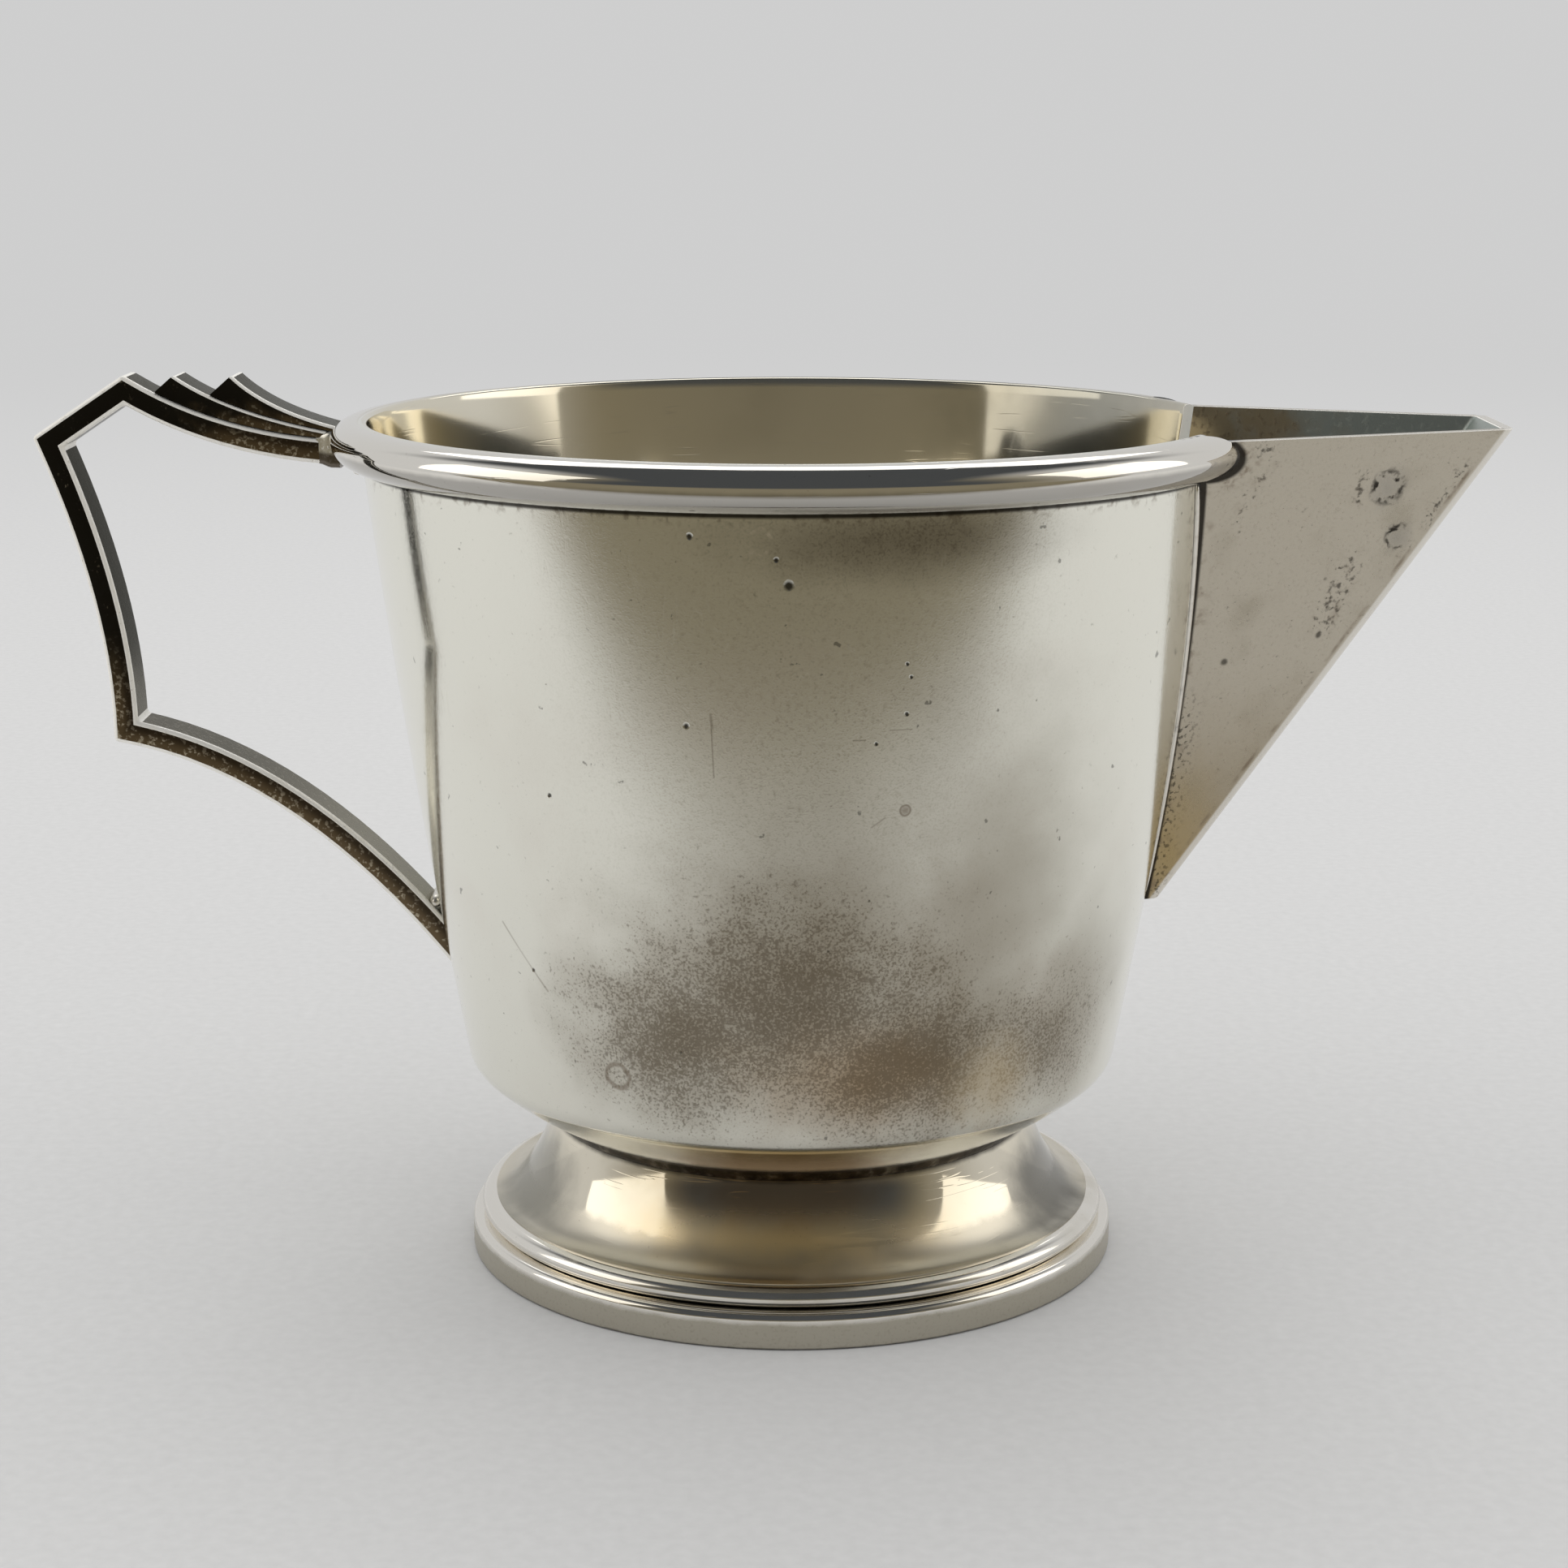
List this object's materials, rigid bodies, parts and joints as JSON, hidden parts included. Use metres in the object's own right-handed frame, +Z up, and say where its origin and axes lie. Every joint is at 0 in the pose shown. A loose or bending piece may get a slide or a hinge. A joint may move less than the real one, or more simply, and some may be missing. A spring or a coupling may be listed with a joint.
{
  "type": "creamer",
  "caption": "Tapered silver cream jug with a half-round rim moulding, a folded pouring spout, a strap handle with a stepped thumb rest, and a flared hollow foot.",
  "frame": {"origin": "on the table, under the middle of the jug's length from handle to spout; the cup's axis stands 1.90 mm towards the spout from it", "axes": "+Z up, +X towards the spout, -X towards the handle, Y across the jug"},
  "size_m": [0.1194, 0.0748, 0.0734],
  "materials": {
    "silver_satin": "satin",
    "silver_polished": "polished",
    "silver_darkened": "tarnished satin",
    "silver_solder": "satin"
  },
  "bodies": {
    "root": {"body_cup": "silver_satin", "rim_moulding": "silver_polished", "spout_shell": "silver_satin", "spout_solder_near": "silver_solder", "spout_solder_far": "silver_solder", "handle_strap": "silver_darkened", "thumb_leaf_middle": "silver_darkened", "thumb_leaf_inner": "silver_darkened", "handle_solder_upper": "silver_solder", "handle_solder_lower": "silver_solder", "foot_shell": "silver_polished", "foot_bead": "silver_polished", "foot_ring": "silver_polished", "foot_solder": "silver_solder"}
  },
  "joints": []
}
